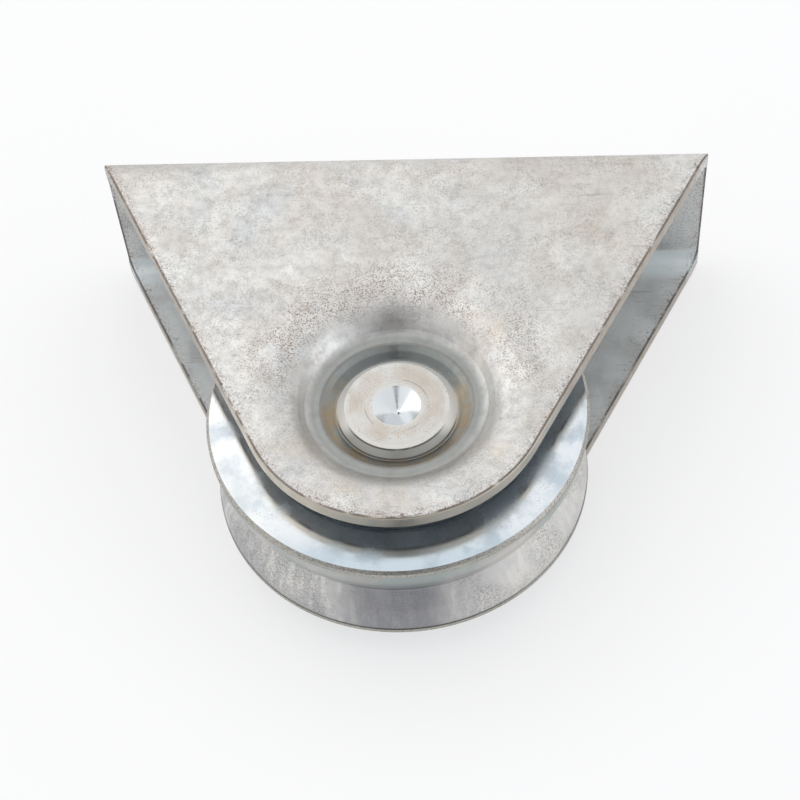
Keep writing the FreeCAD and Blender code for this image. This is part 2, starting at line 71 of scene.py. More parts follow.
def axlePlace(tree):
    # object coordinates in millimetres from the axle's middle, and the distance from the axle itself
    coords = addNode(tree, "ShaderNodeMapping", {"vector_type": "TEXTURE"}, {
        "Vector": addNode(tree, "ShaderNodeTexCoord").outputs["Object"],
        "Location": axleCentre,
        "Scale": (0.001, 0.001, 0.001),
    }).outputs["Vector"]
    parts = addNode(tree, "ShaderNodeSeparateXYZ", None, {0: coords}).outputs
    flat = addNode(tree, "ShaderNodeCombineXYZ", None, {"X": parts["X"], "Z": parts["Z"]}).outputs[0]
    radius = addNode(tree, "ShaderNodeVectorMath", {"operation": "LENGTH"}, {0: flat}).outputs["Value"]
    return {"coords": coords, "radius": radius,
            "along": parts["X"], "across": parts["Y"], "height": parts["Z"]}


def overlap(tree, *masks):
    # where all the masks hold at once, from 0 to 1; a mask is a socket, a plain factor,
    # or a measure with the value where the mask starts and the value where it is full
    result = None
    for mask in masks:
        if isinstance(mask, tuple):
            measure, start, full = mask
            mask = addNode(tree, "ShaderNodeMapRange", {"interpolation_type": "SMOOTHSTEP"}, {
                "Value": measure, "From Min": min(start, full), "From Max": max(start, full),
                "To Min": float(start > full), "To Max": float(start < full),
            }).outputs["Result"]
        if result is not None:
            mask = addNode(tree, "ShaderNodeMath", {"operation": "MULTIPLY"}, {0: result, 1: mask}).outputs[0]
        result = mask
    return result


def patches(tree, coords, size, low, high, detail=3.0, rough=0.55, shift=0.0):
    # soft patches about size millimetres across; low and high set how much of the surface they cover
    noise = addNode(tree, "ShaderNodeTexNoise", {"noise_dimensions": "4D"}, {
        "Vector": coords, "W": shift, "Scale": 1.0 / size, "Detail": detail, "Roughness": rough,
    })
    return overlap(tree, (noise.outputs["Fac"], low, high))


def layered(tree, colour, layers):
    # lays colours over each other: each layer has its colour, how far it covers, and its masks
    for hexText, amount, *masks in layers:
        colour = addNode(tree, "ShaderNodeMix", {"data_type": "RGBA"}, {
            0: overlap(tree, *masks, amount), 6: colour, 7: linearColour(hexText),
        }).outputs[2]
    return colour


def dress(material, *names):
    for name in names:
        mesh = nodes[name].data
        mesh.materials.clear()
        mesh.materials.append(material)


# the camera, where the photograph was taken from

cameraView = {
    "place": (0.02575, -0.33848, -0.30164),
    "forward": (-0.06236, 0.80796, 0.58593),
    "up": (0.01172, -0.58644, 0.80991),
    "lens": 87.07,
    "sensor": 36.0,
    "nearClip": 0.01,
}

cameraData = bpy.data.cameras.new("camera")
cameraData.lens = cameraView["lens"]
cameraData.sensor_width = cameraView["sensor"]
cameraData.clip_start = cameraView["nearClip"]
camera = bpy.data.objects.new("camera", cameraData)
bpy.context.scene.collection.objects.link(camera)
forward = Vector(cameraView["forward"]).normalized()
right = forward.cross(Vector(cameraView["up"])).normalized()
turn = Matrix((right, right.cross(forward), -forward)).transposed().to_4x4()
camera.matrix_world = Matrix.Translation(cameraView["place"]) @ turn
bpy.context.scene.camera = camera
print("camera set")

# the world: a soft room, brightest in front of the object and above it, with one dark stretch low in front

worldLight = {
    "bright": "#F6F7F8",
    "towards": (-0.30, -0.70, 0.65),  # where it is brightest: in front, above and a little to the left
    "low": "#9A9CA0",  # on the far side from there
    "spread": 0.9,  # how much of the room the change takes up, 1 being all of it
    "dark": "#3C3A3E",  # gives the shiny faces something dark to mirror
    "darkness": 1.0,
    # the dark stretch has a narrow upper part and a wide foot; how far each reaches to both sides and
    # upwards, from where it starts to where it is full, on a ball of radius 1
    "narrowPart": {"sides": (0.20, 0.07), "top": (-0.30, -0.50)},
    "widePart": {"sides": (0.55, 0.22), "top": (-0.82, -0.95)},
    "strength": 1.21,
    "seen": "#FBFBFC",  # what the camera sees instead
}

world = bpy.data.worlds.new("studio")
bpy.context.scene.world = world
world.use_nodes = True
worldTree = world.node_tree
worldTree.nodes.clear()
direction = addNode(worldTree, "ShaderNodeTexCoord").outputs["Generated"]
facing = addNode(worldTree, "ShaderNodeVectorMath", {"operation": "DOT_PRODUCT"}, {
    0: direction, 1: Vector(worldLight["towards"]).normalized(),
}).outputs["Value"]
sky = addNode(worldTree, "ShaderNodeMix", {"data_type": "RGBA"}, {
    0: overlap(worldTree, (facing, -worldLight["spread"], worldLight["spread"])),
    6: linearColour(worldLight["low"]),
    7: linearColour(worldLight["bright"]),
}).outputs[2]
compass = addNode(worldTree, "ShaderNodeSeparateXYZ", None, {0: direction}).outputs
sideways = addNode(worldTree, "ShaderNodeMath", {"operation": "ABSOLUTE"}, {0: compass["X"]}).outputs[0]
narrow, wide = (overlap(worldTree, (sideways, *part["sides"]), (compass["Z"], *part["top"]))
                for part in (worldLight["narrowPart"], worldLight["widePart"]))
stretch = addNode(worldTree, "ShaderNodeMath", {"operation": "MAXIMUM"}, {0: narrow, 1: wide}).outputs[0]
sky = layered(worldTree, sky, [(worldLight["dark"], worldLight["darkness"], stretch)])
lit = addNode(worldTree, "ShaderNodeBackground", None, {"Color": sky, "Strength": worldLight["strength"]})
seen = addNode(worldTree, "ShaderNodeBackground", None, {
    "Color": linearColour(worldLight["seen"]), "Strength": 1.0,
})
cameraRay = addNode(worldTree, "ShaderNodeLightPath").outputs["Is Camera Ray"]
worldMix = addNode(worldTree, "ShaderNodeMixShader", None, {
    0: cameraRay, 1: lit.outputs[0], 2: seen.outputs[0]})
addNode(worldTree, "ShaderNodeOutputWorld", None, {"Surface": worldMix.outputs[0]})

# the table that the object lies on: an upright sheet behind the far cheek

tableFinish = {
    "gap": 0.0003,  # behind the far pin head
    "half": 0.9,
    "colour": "#F6F6F7",
    "roughness": 0.9,
    "specular": 0.1,
    "lift": 0.6,  # how far the white paper is lifted towards plain white
}


def mattePaper(values):
    # uncoated white paper: even and without any shine, so that it shows nothing but the object's soft shadow;
    # seen from its front only, so that the views from behind look through it
    material, tree, shader = newMaterial("matte studio paper")
    fillInputs(tree, shader, {
        "Base Color": linearColour(values["colour"]),
        "Roughness": values["roughness"],
        "Specular IOR Level": values["specular"],
    })
    white = addNode(tree, "ShaderNodeEmission", None, {"Color": (1.0, 1.0, 1.0, 1.0), "Strength": 1.0})
    path = addNode(tree, "ShaderNodeLightPath").outputs
    looked = addNode(tree, "ShaderNodeMath", {"operation": "MAXIMUM"}, {
        0: path["Is Camera Ray"], 1: path["Is Glossy Ray"]}).outputs[0]
    lifted = addNode(tree, "ShaderNodeMixShader", None, {
        0: overlap(tree, looked, values["lift"]), 1: shader.outputs[0], 2: white.outputs[0]})
    clear = addNode(tree, "ShaderNodeBsdfTransparent")
    back = addNode(tree, "ShaderNodeNewGeometry").outputs["Backfacing"]
    mixed = addNode(tree, "ShaderNodeMixShader", None, {0: back, 1: lifted.outputs[0], 2: clear.outputs[0]})
    output = next(n for n in tree.nodes if n.type == "OUTPUT_MATERIAL")
    fillInputs(tree, output, {"Surface": mixed.outputs[0]})
    return material


tableMesh = bpy.data.meshes.new("table")
plane = bmesh.new()
bmesh.ops.create_grid(plane, x_segments=1, y_segments=1, size=tableFinish["half"])
farSide = cadBox[1][1] + tableFinish["gap"]
upright = Matrix.Translation((0, farSide, axleCentre[2])) @ Matrix.Rotation(math.radians(90), 4, "X")
bmesh.ops.transform(plane, matrix=upright, verts=plane.verts)
plane.to_mesh(tableMesh)
plane.free()
tableMesh.materials.append(mattePaper(tableFinish))
stageObject = bpy.data.objects.new("table", tableMesh)
bpy.context.scene.collection.objects.link(stageObject)

# two soft square lamps: the key from the upper left, the fill from the lower right

lamps = {
    "key": {"place": (-0.85, -0.80, 0.40), "aim": (0, 0, -0.06), "size": 1.5, "power": 2.3,
            "colour": "#FFFEFB"},
    "fill": {"place": (1.1, -0.35, -0.35), "aim": (0, 0, -0.06), "size": 0.9, "power": 2.2,
             "colour": "#F5F9FF"},
}

for name, values in lamps.items():
    lamp = bpy.data.lights.new(name, "AREA")
    lamp.shape = "RECTANGLE"
    lamp.size = lamp.size_y = values["size"]
    lamp.energy = values["power"]
    lamp.color = linearColour(values["colour"])[:3]
    lampObject = bpy.data.objects.new(name, lamp)
    bpy.context.scene.collection.objects.link(lampObject)
    away = Vector(values["place"]) - Vector(values["aim"])
    turned = away.to_track_quat("Z", "Y").to_matrix().to_4x4()
    lampObject.matrix_world = Matrix.Translation(values["place"]) @ turned
print("stage and lamps set")

# the bracket: zinc-plated steel sheet, sheared, pressed and folded

sheetFinish = {
    "base": "#D0CECB",
    "pale": "#DEDDDA",  # fresh zinc
    "warm": "#BFB3A6",  # old passivation, yellowish
    "cool": "#BCC3C7",
    "floor": "#8F918F",  # burnished by the press and darker than the rest, partly painted shade of the dish's wall
    "cream": "#D8D0C3",
    "speck": "#77716B",  # grey pits in the plating
    "rust": "#704C3C",
    "inside": "#E4E7E7",  # the channel's smoother inner side, painted lighter against the channel's shade
    "bendHighlight": "#F4FCFD",  # painted highlight, bright and a little blue
    "cut": "#A59B8D",
    "cutFoot": "#CCC3B4",
    "edgeShade": "#5E534B",  # painted shade: the dark line where the shears met the face
    "recess": "#8A8E8C",
    "recessShade": "#5C605F",
    "ochre": "#9E8A6C",

    # how far each layer covers what lies under it
    "amounts": {
        "oldFilm": 0.35, "coolCloud": 0.40, "warmCloud": 0.28, "mottle": 0.17,
        "floor": 0.9, "cream": 0.35, "arcRust": 0.75, "denseSpecks": 0.45, "looseSpecks": 0.10,
        "inside": 0.8, "scratch": 0.3, "webSpecks": 0.40, "stain": 0.26, "bendHighlight": 0.95,
        "edgeRust": 0.85, "foldLine": 0.42, "edgeSpecks": 0.5, "looseRust": 0.22,
        "cut": 0.75, "cutFoot": 0.8, "edgeShade": 0.8,
        "recess": 0.75, "recessRim": 0.35, "recessShade": 0.6, "ochre": 0.75,
    },

    # patterns, sizes in millimetres; real pits are a tenth or two across, and fine is drawn coarser to show
    "patterns": {
        "blotch": {"size": 13.0, "low": 0.42, "high": 0.62, "detail": 4},
        "mottle": {"size": 2.2, "low": 0.40, "high": 0.66, "detail": 6, "rough": 0.65, "shift": 2},
        "cool": {"size": 11.0, "low": 0.50, "high": 0.68, "detail": 4, "shift": 5},
        "warm": {"size": 9.0, "low": 0.48, "high": 0.66, "detail": 5, "shift": 8},
        "fine": {"size": 0.34, "low": 0.46, "high": 0.64, "rough": 0.7, "shift": 3},
        "dense": {"size": 6.0, "low": 0.30, "high": 0.70, "detail": 4, "rough": 0.6, "shift": 12},
        "coarse": {"size": 0.8, "low": 0.60, "high": 0.68, "shift": 21},
        "oldFilm": {"size": 34.0, "low": 0.40, "high": 0.62, "shift": 91},
        "arc": {"size": 7.0, "low": 0.30, "high": 0.58, "shift": 61},
        "scratched": {"size": 9.0, "low": 0.50, "high": 0.62, "shift": 97},
        "stain": {"size": 10.0, "low": 0.42, "high": 0.62, "detail": 5, "shift": 71},
        "edgeShade": {"size": 5.0, "low": 0.30, "high": 0.50, "shift": 41},
        "ochre": {"size": 4.0, "low": 0.36, "high": 0.56, "detail": 4, "shift": 31},
        "ochreGrain": {"size": 0.9, "low": 0.20, "high": 0.52, "detail": 4, "shift": 33},
    },
    # scratches run along the rail; real ones are hair-fine, and these are drawn wider to show
    "scratch": {"size": 0.45, "low": 0.60, "high": 0.66, "detail": 2, "shift": 95},
    "scratchStretch": (0.06, 1.0, 1.0),

    # from here on, the first number says where something starts and the second one where it is full
    # millimetres from the axle
    "fromAxle": {
        "floor": (19.8, 17.4), "beyondDish": (19.0, 23.0),
        "creamInner": (20.0, 24.0), "creamOuter": (31.0, 25.5),
        "arcInner": (21.0, 25.0), "arcOuter": (37.0, 27.0),
        "recess": (16.0, 15.5), "recessShade": (14.8, 14.3),
        "rimInner": (15.5, 15.8), "rimOuter": (16.4, 16.1),
    },
    # millimetres above the axle
    "aboveAxle": {
        "oldFilm": (10.0, 45.0), "arc": (-8.0, 10.0), "webInside": (60.0, 63.0), "bendHighlight": (56.0, 60.0),
        "foldRust": (63.0, 66.6), "foldLine": (64.8, 66.4), "cut": (60.0, 56.0), "cutFoot": (2.0, -12.0),
        "recessShade": (2.0, 7.0), "ochre": (9.0, 3.0),
    },
    # millimetres inwards from the cheek's outline
    "fromOutline": {
        "rust": (3.0, 0.2), "cut": (0.3, 0.1), "edgeShadeInner": (0.75, 0.45), "edgeShadeOuter": (0.08, 0.22),
    },
    # how far a cheek's face looks outwards and the web's looks up, from -1 to 1
    "looking": {"cheekInside": (-0.1, -0.5), "cheekOutside": (0.3, 0.7), "webInside": (-0.2, -0.6)},

    # the outline itself, in millimetres: the round foot, and the slanted side's upper end
    "footRadius": 32.0,
    "topHalf": 68.0,
    "topAbove": 63.5,

    "roughness": (0.32, 0.48),
    "insideRoughness": 0.55,
    "insideMetal": 0.55,  # the matte film there scatters part of the light
    "bendRoughness": 0.4,
    "bendMetal": 0.2,
    "grainSize": 0.5,
    "waveSize": 5.0,
    "waveShare": 3.0,  # of the bumps, against the grain's
    "bumpStrength": 0.6,
    "bumpHeight": 0.00004,
}


def outlineDistance(tree, place, values):
    # millimetres inwards from the cheek's outline: two slanted sides that meet a round foot
    reach = math.hypot(values["topHalf"], values["topAbove"])
    slant = math.atan2(values["topAbove"], values["topHalf"]) - math.acos(values["footRadius"] / reach)
    outwards = Vector((math.cos(slant), 0.0, math.sin(slant)))
    upwards = Vector((-math.sin(slant), 0.0, math.cos(slant)))
    side = addNode(tree, "ShaderNodeMath", {"operation": "ABSOLUTE"}, {0: place["along"]}).outputs[0]
    folded = addNode(tree, "ShaderNodeCombineXYZ", None, {"X": side, "Z": place["height"]}).outputs[0]
    out, up = (addNode(tree, "ShaderNodeVectorMath", {"operation": "DOT_PRODUCT"}, {
        0: folded, 1: axis}).outputs["Value"] for axis in (outwards, upwards))
    down = addNode(tree, "ShaderNodeMath", {"operation": "MINIMUM"}, {0: up, 1: 0.0}).outputs[0]
    corner = addNode(tree, "ShaderNodeCombineXYZ", None, {"X": out, "Y": down}).outputs[0]
    reached = addNode(tree, "ShaderNodeVectorMath", {"operation": "LENGTH"}, {0: corner}).outputs["Value"]
    return addNode(tree, "ShaderNodeMath", {"operation": "SUBTRACT"}, {
        0: values["footRadius"], 1: reached}).outputs[0]


def zincSheet(values):
    # electroplated mild steel: pale grey, dull and cloudy, with pits, and brown specks at the edges
    material, tree, shader = newMaterial("zinc-plated steel sheet")
    place = axlePlace(tree)
    coords, radius, height = place["coords"], place["radius"], place["height"]
    edge = outlineDistance(tree, place, values)
    amounts, fromAxle, aboveAxle = values["amounts"], values["fromAxle"], values["aboveAxle"]
    fromOutline, looking = values["fromOutline"], values["looking"]
    pattern = {name: patches(tree, coords, **look) for name, look in values["patterns"].items()}
    drawnOut = addNode(tree, "ShaderNodeVectorMath", {"operation": "MULTIPLY"}, {
        0: coords, 1: values["scratchStretch"]}).outputs[0]
    scratch = patches(tree, drawnOut, **values["scratch"])

    normal = addNode(tree, "ShaderNodeSeparateXYZ", None, {
        0: addNode(tree, "ShaderNodeTexCoord").outputs["Normal"]}).outputs
    side = addNode(tree, "ShaderNodeMath", {"operation": "SIGN"}, {0: place["across"]}).outputs[0]
    # 1 on the cheeks' outer faces, -1 on their inner ones
    outward = addNode(tree, "ShaderNodeMath", {"operation": "MULTIPLY"}, {0: normal["Y"], 1: side}).outputs[0]
    cheekInside = overlap(tree, (outward, *looking["cheekInside"]))
    webInside = overlap(tree, (normal["Z"], *looking["webInside"]), (height, *aboveAxle["webInside"]))
    inside = addNode(tree, "ShaderNodeMath", {"operation": "MAXIMUM"}, {
        0: cheekInside, 1: webInside}).outputs[0]
    outside = overlap(tree, (outward, *looking["cheekOutside"]))
    beyondDish = overlap(tree, (radius, *fromAxle["beyondDish"]))
    nearEdge = addNode(tree, "ShaderNodeMath", {"operation": "MAXIMUM"}, {
        0: overlap(tree, (edge, *fromOutline["rust"])),
        1: overlap(tree, (height, *aboveAxle["foldRust"]), outside),
    }).outputs[0]
    bendHighlight = overlap(tree, (height, *aboveAxle["bendHighlight"]), cheekInside)
    cut = overlap(tree, (edge, *fromOutline["cut"]), (height, *aboveAxle["cut"]))
    recess = overlap(tree, (radius, *fromAxle["recess"]))

    colour = addNode(tree, "ShaderNodeMix", {"data_type": "RGBA"}, {
        0: pattern["blotch"], 6: linearColour(values["base"]), 7: linearColour(values["pale"]),
    }).outputs[2]
    colour = layered(tree, colour, [
        (values["warm"], amounts["oldFilm"], pattern["oldFilm"], (height, *aboveAxle["oldFilm"])),
        (values["cool"], amounts["coolCloud"], pattern["cool"]),
        (values["warm"], amounts["warmCloud"], pattern["warm"]),
        (values["speck"], amounts["mottle"], pattern["mottle"]),
        # the dish: a smooth cool floor, darkened in part with painted shade, then a ring of cream, and an arc
        # of many specks above it
        (values["floor"], amounts["floor"], (radius, *fromAxle["floor"]), outside),
        (values["cream"], amounts["cream"], (radius, *fromAxle["creamInner"]),
         (radius, *fromAxle["creamOuter"]), outside, pattern["warm"]),
        (values["rust"], amounts["arcRust"], (radius, *fromAxle["arcInner"]), (radius, *fromAxle["arcOuter"]),
         outside, (height, *aboveAxle["arc"]), pattern["fine"], pattern["arc"]),
        (values["speck"], amounts["denseSpecks"], pattern["fine"], pattern["dense"], beyondDish),
        (values["speck"], amounts["looseSpecks"], pattern["fine"], beyondDish),
        # painted light: the channel's inner faces are drawn lighter than the outer ones
        (values["inside"], amounts["inside"], inside),
        (values["speck"], amounts["scratch"], scratch, pattern["scratched"], beyondDish),
        (values["speck"], amounts["webSpecks"], webInside, pattern["fine"]),
        (values["speck"], amounts["stain"], inside, pattern["stain"]),
        # painted highlight: a bright band along the fold's inner corner
        (values["bendHighlight"], amounts["bendHighlight"], bendHighlight),
        (values["rust"], amounts["edgeRust"], nearEdge, pattern["coarse"]),
        (values["rust"], amounts["foldLine"], (height, *aboveAxle["foldLine"]), outside),
        (values["rust"], amounts["edgeSpecks"], nearEdge, pattern["fine"]),
        (values["rust"], amounts["looseRust"], pattern["coarse"], pattern["dense"]),
        # the sheared edge itself: cream, under a dark line of painted shade where it meets the outer face
        (values["cut"], amounts["cut"], cut),
        (values["cutFoot"], amounts["cutFoot"], cut, (height, *aboveAxle["cutFoot"])),
        (values["edgeShade"], amounts["edgeShade"], (edge, *fromOutline["edgeShadeInner"]),
         (edge, *fromOutline["edgeShadeOuter"]), pattern["edgeShade"]),
        # the coined recess round the pin's head, darkened with painted shade, most on its upper side, and a
        # dark line of painted shade at its rim
        (values["recess"], amounts["recess"], recess),
        (values["edgeShade"], amounts["recessRim"], (radius, *fromAxle["rimInner"]),
         (radius, *fromAxle["rimOuter"])),
        (values["recessShade"], amounts["recessShade"], (radius, *fromAxle["recessShade"]),
         (height, *aboveAxle["recessShade"])),
        (values["ochre"], amounts["ochre"], recess, overlap(tree, pattern["ochre"], pattern["ochreGrain"]),
         (height, *aboveAxle["ochre"])),
    ])

    low, high = values["roughness"]
    dull = addNode(tree, "ShaderNodeMapRange", None, {
        "Value": pattern["mottle"], "To Min": low, "To Max": high}).outputs["Result"]
    metal = 1.0
    for mask, ownMetal, ownDull in ((inside, values["insideMetal"], values["insideRoughness"]),
                                    (bendHighlight, values["bendMetal"], values["bendRoughness"])):
        metal = addNode(tree, "ShaderNodeMix", {"data_type": "FLOAT"}, {
            0: mask, 2: metal, 3: ownMetal}).outputs[0]
        dull = addNode(tree, "ShaderNodeMix", {"data_type": "FLOAT"}, {
            0: mask, 2: dull, 3: ownDull}).outputs[0]

    grain = addNode(tree, "ShaderNodeTexNoise", None, {
        "Vector": coords, "Scale": 1 / values["grainSize"], "Detail": 3.0}).outputs["Fac"]
    wave = addNode(tree, "ShaderNodeTexNoise", None, {
        "Vector": coords, "Scale": 1 / values["waveSize"], "Detail": 2.0}).outputs["Fac"]
    bumps = addNode(tree, "ShaderNodeMath", {"operation": "MULTIPLY_ADD"}, {
        0: wave, 1: values["waveShare"], 2: grain}).outputs[0]
    bump = addNode(tree, "ShaderNodeBump", None, {
        "Strength": values["bumpStrength"], "Distance": values["bumpHeight"], "Height": bumps})
    fillInputs(tree, shader, {
        "Base Color": colour, "Metallic": metal, "Roughness": dull, "Normal": bump.outputs["Normal"]})
    return material


dress(zincSheet(sheetFinish), "bracket")
print("bracket dressed")

# everything that was turned on a lathe, pressed or ground, with sizes in millimetres; real tool marks and
# grinding lines are a tenth apart or less, and every lineSize and speckSize is drawn coarser to show

turnedMarks = {
    "lines": {"low": 0.35, "high": 0.65, "rough": 0.7},
    "bands": {"low": 0.40, "high": 0.65, "detail": 2, "shift": 4},
    "cloud": {"low": 0.42, "high": 0.64, "detail": 4, "shift": 7},
    "specks": {"low": 0.54, "high": 0.68, "detail": 2, "shift": 9},
    "speckled": {"low": 0.42, "high": 0.60, "shift": 15},
    "bandWidth": 8,  # lines to a band
    "bandDepth": 0.6,  # of a line's
    "speckledSize": 0.8,  # of a cloud's
    "bumpStrength": 0.5,
}


def turnedSteel(name, values, wearAndPaintedLight=None):
    # lathe marks run round the axle: fine rings on flat faces, fine lines round the rims
    material, tree, shader = newMaterial(name)
    marks = turnedMarks
    place = axlePlace(tree)
    coords = place["coords"]
    lathe = addNode(tree, "ShaderNodeCombineXYZ", None, {
        "X": place["radius"], "Y": place["across"]}).outputs[0]
    lines = patches(tree, lathe, values["lineSize"], **marks["lines"])
    bands = patches(tree, lathe, values["lineSize"] * marks["bandWidth"], **marks["bands"])
    cloud = patches(tree, coords, values["cloudSize"], **marks["cloud"])
    specks = patches(tree, coords, values["speckSize"], **marks["specks"])
    speckled = patches(tree, coords, values["cloudSize"] * marks["speckledSize"], **marks["speckled"])
    colour = addNode(tree, "ShaderNodeMix", {"data_type": "RGBA"}, {
        0: cloud, 6: linearColour(values["base"]), 7: linearColour(values["tint"]),
    }).outputs[2]
    colour = layered(tree, colour, [
        (values["shade"], values["lineDepth"], lines),
        (values["shade"], values["lineDepth"] * marks["bandDepth"], bands),
        (values["speck"], values["speckAmount"], specks, speckled),
    ])
    low, high = values["roughness"]
    dull = addNode(tree, "ShaderNodeMapRange", None, {
        "Value": cloud, "To Min": low, "To Max": high}).outputs["Result"]
    metal = 1.0
    if wearAndPaintedLight:
        colour, dull, metal = wearAndPaintedLight(tree, place, colour, dull)
    bump = addNode(tree, "ShaderNodeBump", None, {
        "Strength": marks["bumpStrength"], "Distance": values["bumpHeight"], "Height": lines})
    fillInputs(tree, shader, {
        "Base Color": colour, "Metallic": metal, "Roughness": dull, "Normal": bump.outputs["Normal"]})
    return material


# the wheel: turned and zinc-plated, its side faces still bright and a little blue
wheelFinish = {
    "base": "#DDE2E6", "tint": "#BFCAD2", "shade": "#A9B0B5", "speck": "#8A857F",
    "lineSize": 0.6, "lineDepth": 0.07, "cloudSize": 7.0, "speckSize": 0.4, "speckAmount": 0.3,
    "roughness": (0.14, 0.32), "bumpHeight": 0.000004,
}
grooveFinish = {
    "shade": "#C4C0BB",  # the groove's duller plating
    "violet": "#A4A4AC",
    "paintedDarkReflection": "#818288",  # a painted dark reflection on the groove's lower stretch
    "paintedCoolReflection": "#B2C2CD",
    "white": "#F6F3EE",
    "speck": "#5F5953",
    "pale": "#E4E2DE",
    "teal": "#7C9B99",  # passivation pooled in the corner, over the near wall's painted shade
    "land": "#B3AEA4",
    "shadeLine": "#3F3A36",
    "roughness": 0.42,

    # how far each layer covers what lies under it
    "amounts": {
        "white": 0.40, "paintedCoolReflection": 0.6, "groove": 0.7, "streak": 0.7, "violet": 0.4, "rightPaintedLight": 0.5, "pits": 0.45,
        "paintedDarkReflection": 0.75, "nearWall": 0.6, "teal": 0.45, "land": 0.85, "landPits": 0.5, "shadeLine": 0.6,
    },

    # patterns, sizes in millimetres; the pits are drawn coarser than real ones to show
    "patterns": {
        "highlightSmear": {"size": 7.0, "low": 0.30, "high": 0.58, "detail": 4, "shift": 101},
        "violet": {"size": 15.0, "low": 0.46, "high": 0.60, "shift": 53},
        "pits": {"size": 0.36, "low": 0.44, "high": 0.60, "rough": 0.7, "shift": 55},
        "pitted": {"size": 12.0, "low": 0.36, "high": 0.58, "shift": 57},
        "teal": {"size": 14.0, "low": 0.36, "high": 0.60, "shift": 59},
    },
    "streak": {"size": 1.6, "low": 0.45, "high": 0.62, "detail": 4, "shift": 51},
    "streakRadius": 38.0,  # where a streak has its own width
    "streakStretch": 0.22,  # across the groove

    # where something starts and where it is full, in millimetres, from the axle
    "fromAxle": {"groove": (35.0, 35.4), "land": (39.3, 39.5), "shadeLine": (39.0, 39.4)},
    # from the wheel's middle plane, to both sides
    "fromMiddle": {
        "groove": (10.4, 10.1), "face": (11.3, 11.6), "land": (10.2, 10.4),
        "shadeLineInner": (10.05, 10.25), "shadeLineOuter": (10.55, 10.35),
    },
    "nearWall": (-1.5, -3.0),  # towards the near cheek
    "highlightReach": (-4.0, -24.0),  # along the rail
    "rightPaintedLightReach": (10.0, 24.0),
    "darkReflectionReach": (15.0, 5.0),  # along the rail, to both sides
    "low": (-28.0, -37.0),  # above the axle
}


def grooveWearAndPaintedLight(tree, place, colour, dull):
    # the groove is duller than the faces, peppered with pits and streaked across; the rims' lands are
    # browner; faces and groove also carry painted highlights, reflections and shade
    values = grooveFinish
    coords, radius, along, across = place["coords"], place["radius"], place["along"], place["across"]
    amounts, fromAxle, fromMiddle = values["amounts"], values["fromAxle"], values["fromMiddle"]
    pattern = {name: patches(tree, coords, **look) for name, look in values["patterns"].items()}
    fromPlane, sideways = (addNode(tree, "ShaderNodeMath", {"operation": "ABSOLUTE"}, {
        0: measure}).outputs[0] for measure in (across, along))
    groove = overlap(tree, (fromPlane, *fromMiddle["groove"]), (radius, *fromAxle["groove"]))
    face = overlap(tree, (fromPlane, *fromMiddle["face"]))
    low = overlap(tree, (place["height"], *values["low"]))
    nearWall = overlap(tree, groove, (across, *values["nearWall"]))
    land = overlap(tree, (fromPlane, *fromMiddle["land"]), (radius, *fromAxle["land"]))

    # the streaks' pattern is stretched across the groove and follows its round
    around = {"Y": addNode(tree, "ShaderNodeMath", {"operation": "MULTIPLY"}, {
        0: across, 1: values["streakStretch"]}).outputs[0]}
    for axis, measure in (("X", along), ("Z", place["height"])):
        scaled = addNode(tree, "ShaderNodeMath", {"operation": "MULTIPLY"}, {
            0: measure, 1: values["streakRadius"]}).outputs[0]
        around[axis] = addNode(tree, "ShaderNodeMath", {"operation": "DIVIDE"}, {
            0: scaled, 1: radius}).outputs[0]
    streak = patches(tree, addNode(tree, "ShaderNodeCombineXYZ", None, around).outputs[0], **values["streak"])

    colour = layered(tree, colour, [
        # painted highlight: white smears on the face's left side
        (values["white"], amounts["white"], face, pattern["highlightSmear"], (along, *values["highlightReach"])),
        # painted reflection: a cool blue on the face's lower side
        (values["paintedCoolReflection"], amounts["paintedCoolReflection"], face, low),
        (values["shade"], amounts["groove"], groove),
        (values["pale"], amounts["streak"], groove, streak),
        (values["violet"], amounts["violet"], groove, pattern["violet"]),
        # painted light: the groove drawn paler on its right side
        (values["pale"], amounts["rightPaintedLight"], groove, (along, *values["rightPaintedLightReach"])),
        (values["speck"], amounts["pits"], groove, pattern["pits"], pattern["pitted"]),
        # painted dark reflection on the groove's lower middle
        (values["paintedDarkReflection"], amounts["paintedDarkReflection"], groove, low, (sideways, *values["darkReflectionReach"])),
        # painted shade on the near wall under the rim, with teal passivation patches over it
        (values["shade"], amounts["nearWall"], nearWall),
        (values["teal"], amounts["teal"], nearWall, pattern["teal"]),
        (values["land"], amounts["land"], land),
        (values["speck"], amounts["landPits"], land, pattern["pits"]),
        # painted shade: dark lines along both edges of the rims' lands
        (values["shadeLine"], amounts["shadeLine"], (fromPlane, *fromMiddle["shadeLineInner"]),
         (fromPlane, *fromMiddle["shadeLineOuter"]), (radius, *fromAxle["shadeLine"])),
    ])
    dullPart = addNode(tree, "ShaderNodeMath", {"operation": "MAXIMUM"}, {0: groove, 1: land}).outputs[0]
    dull = addNode(tree, "ShaderNodeMix", {"data_type": "FLOAT"}, {
        0: dullPart, 2: dull, 3: values["roughness"]}).outputs[0]
    return colour, dull, 1.0


